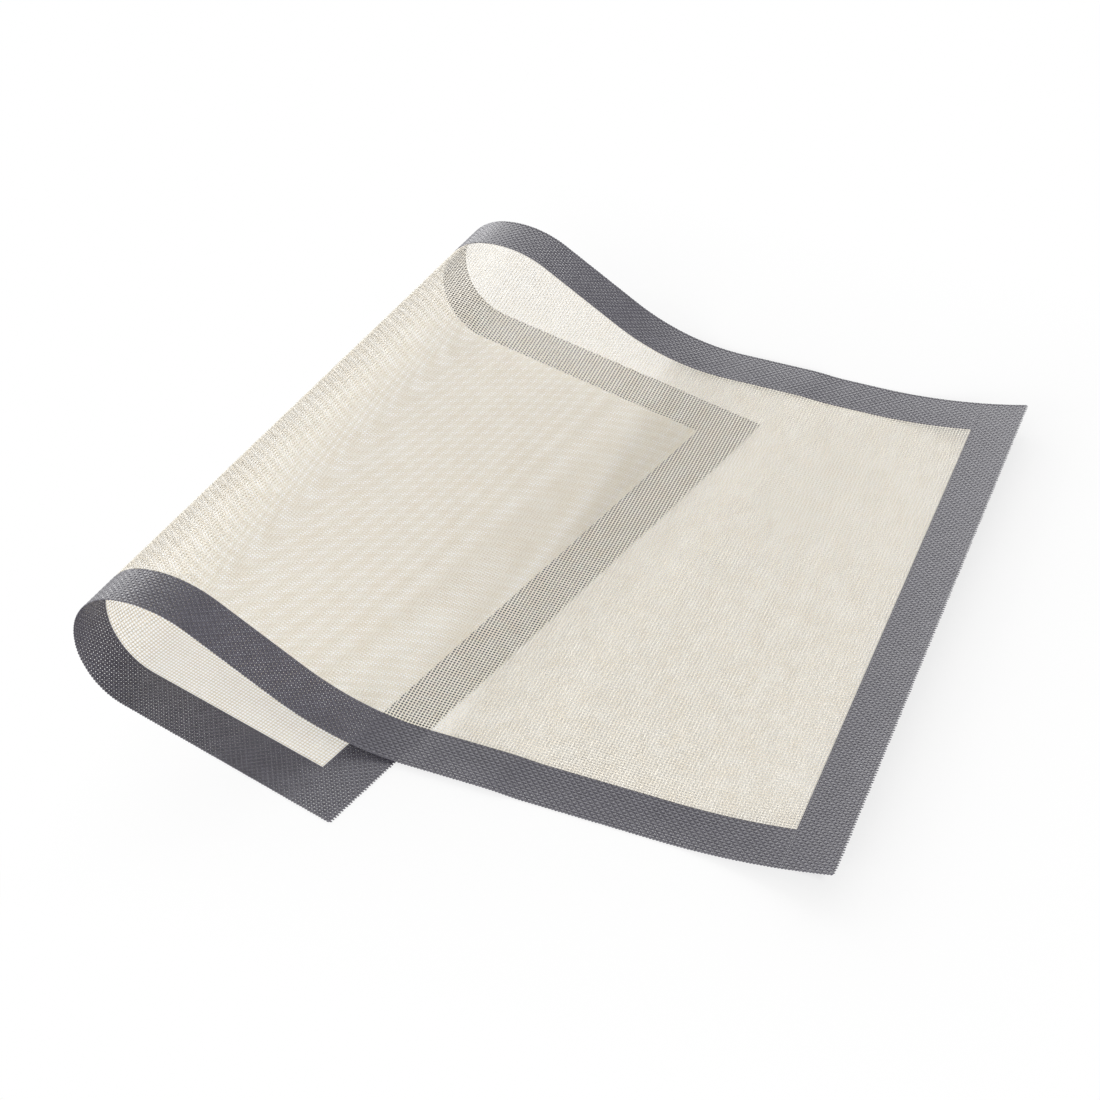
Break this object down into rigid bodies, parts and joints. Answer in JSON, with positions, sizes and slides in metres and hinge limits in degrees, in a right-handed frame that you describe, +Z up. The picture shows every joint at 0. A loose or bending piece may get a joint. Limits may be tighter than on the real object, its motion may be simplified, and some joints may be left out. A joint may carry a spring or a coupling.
{
  "type": "silicone baking mat",
  "caption": "Flexible woven glass mesh baking mat coated in silicone, cream with a grey border, lying partly rolled back on itself in a wide loop.",
  "frame": {"origin": "on the table, under the middle of the mat's box as it lies rolled back", "axes": "+Z up, +X towards the open end, +Y along the fold towards the far long edge"},
  "size_m": [0.334, 0.3876, 0.0515],
  "materials": {
    "glass_cloth": "woven glass yarn, pale and slightly translucent",
    "cream_silicone": "satin silicone over the weave",
    "grey_silicone": "satin silicone over the weave"
  },
  "bodies": {
    "root": {"glass_mesh_core": "glass_cloth", "centre_coat_top": "cream_silicone", "centre_coat_underside": "cream_silicone", "border_coat_top": "grey_silicone", "border_coat_underside": "grey_silicone"}
  },
  "joints": []
}
